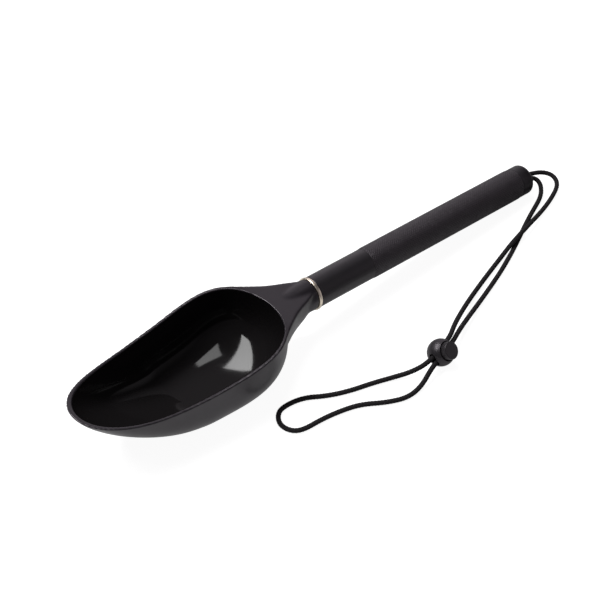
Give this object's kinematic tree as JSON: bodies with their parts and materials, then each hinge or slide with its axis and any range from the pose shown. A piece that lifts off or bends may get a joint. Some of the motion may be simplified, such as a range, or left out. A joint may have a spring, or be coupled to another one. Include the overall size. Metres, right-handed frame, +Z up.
{
  "type": "hand scoop",
  "caption": "Hand scoop with a deep one-piece bowl turned up at the tip, a round tubular handle with a textured grip, and a cord wrist lanyard with a sliding ball lock.",
  "frame": {"origin": "under the middle of the scoop's bounding box, on the surface it lies on; the free lanyard is not counted", "axes": "+X from the bowl to the butt of the handle, +Z up; the scoop lies on the flat of its bowl and the lower edge of its butt cap"},
  "size_m": [0.4209, 0.133, 0.0479],
  "materials": {
    "moulding": "glossy black moulding, polished inside the bowl and satin outside",
    "gold_ring": "bright pale gold, polished",
    "tube_lacquer": "gloss black lacquer",
    "grip_skin": "satin black, fine diamond texture",
    "cap": "gloss black",
    "cord": "black round braid",
    "lock_plastic": "satin black",
    "spring_steel": "bright wire"
  },
  "bodies": {
    "scoop": {"scoop_head": "moulding", "trim_ring": "gold_ring", "handle_tube": "tube_lacquer", "grip_sleeve": "grip_skin", "butt_cap": "cap", "cord_end_knot": "cord", "lanyard_cord": "cord"},
    "cord_lock": {"lock_body": "lock_plastic", "lock_spring": "spring_steel"},
    "lock_button": {"lock_button": "lock_plastic"}
  },
  "joints": [
    {"name": "cord_lock_slide", "type": "slide", "parent": "scoop", "child": "cord_lock", "axis": [0.9659, 0.2588, 0], "range_m": [0, 0.004]},
    {"name": "lock_button_press", "type": "slide", "parent": "cord_lock", "child": "lock_button", "axis": [-0.1983, 0.7399, -0.6428], "range_m": [0, 0.0025], "stiffness_N_per_m": 400, "springref_m": -0.004, "deforming": ["lock_spring"]}
  ]
}
